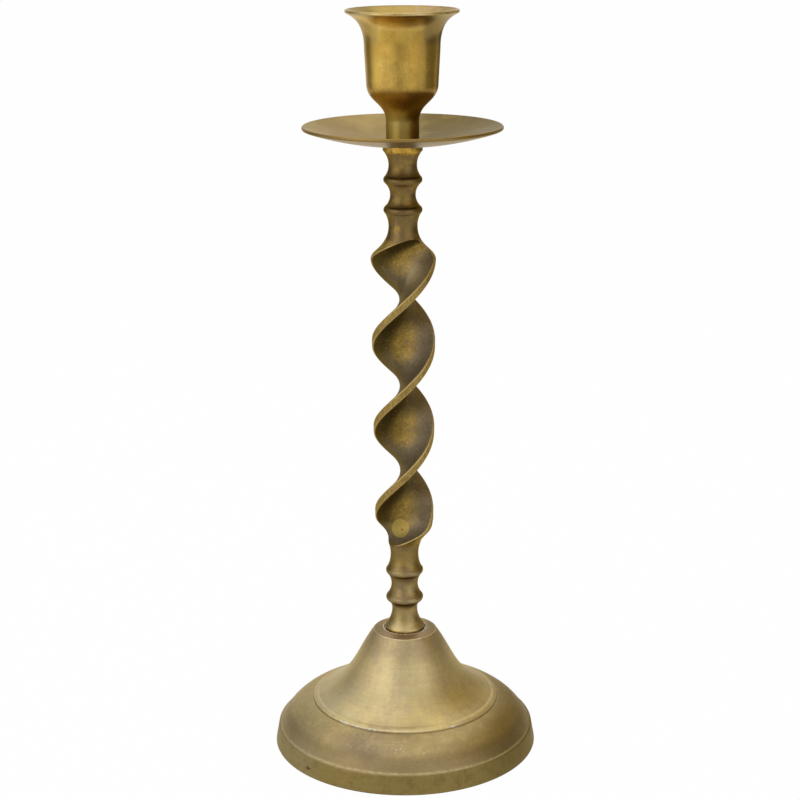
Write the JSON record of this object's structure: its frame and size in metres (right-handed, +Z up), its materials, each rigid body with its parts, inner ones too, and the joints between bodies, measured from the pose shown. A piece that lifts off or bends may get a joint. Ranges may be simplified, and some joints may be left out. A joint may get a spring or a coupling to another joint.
{
  "type": "spiral candle holder",
  "caption": "Tall brass candle holder: a hollow bell-shaped base, a stem twisted like a flat bar, a shallow drip pan and a flared cup for a taper candle.",
  "frame": {"origin": "centre of the base's bottom rim, on the surface that the holder stands on", "axes": "+Z up along the stem and out of the candle socket, -Y towards the viewer of the picture, +X to the right"},
  "size_m": [0.101, 0.101, 0.28],
  "materials": {
    "base_brass": "aged satin, turned",
    "stem_brass": "aged, worn bright on the twist's edges",
    "pan_brass": "aged, dull",
    "cup_brass": "aged satin",
    "fastener_steel": "plain zinc-plated steel, dulled"
  },
  "bodies": {
    "stand": {"base": "base_brass", "stem": "stem_brass", "drip_pan": "pan_brass", "base_stud": "fastener_steel", "base_washer": "fastener_steel", "base_nut": "fastener_steel"},
    "cup_stud": {"cup_stud": "fastener_steel"},
    "candle_cup": {"candle_cup": "cup_brass"}
  },
  "joints": [
    {"name": "cup_rise", "type": "slide", "parent": "stand", "child": "cup_stud", "axis": [0, 0, 1], "range_m": [0, 0.0101]},
    {"name": "cup_turn", "type": "hinge", "parent": "cup_stud", "child": "candle_cup", "pos_m": [0, 0, 0.2335], "axis": [0, 0, 1], "range_deg": [0, 3600]}
  ],
  "couplings": [
    {"joint": "cup_rise", "follows": "cup_turn", "m_per_rad": 0.00015915}
  ]
}
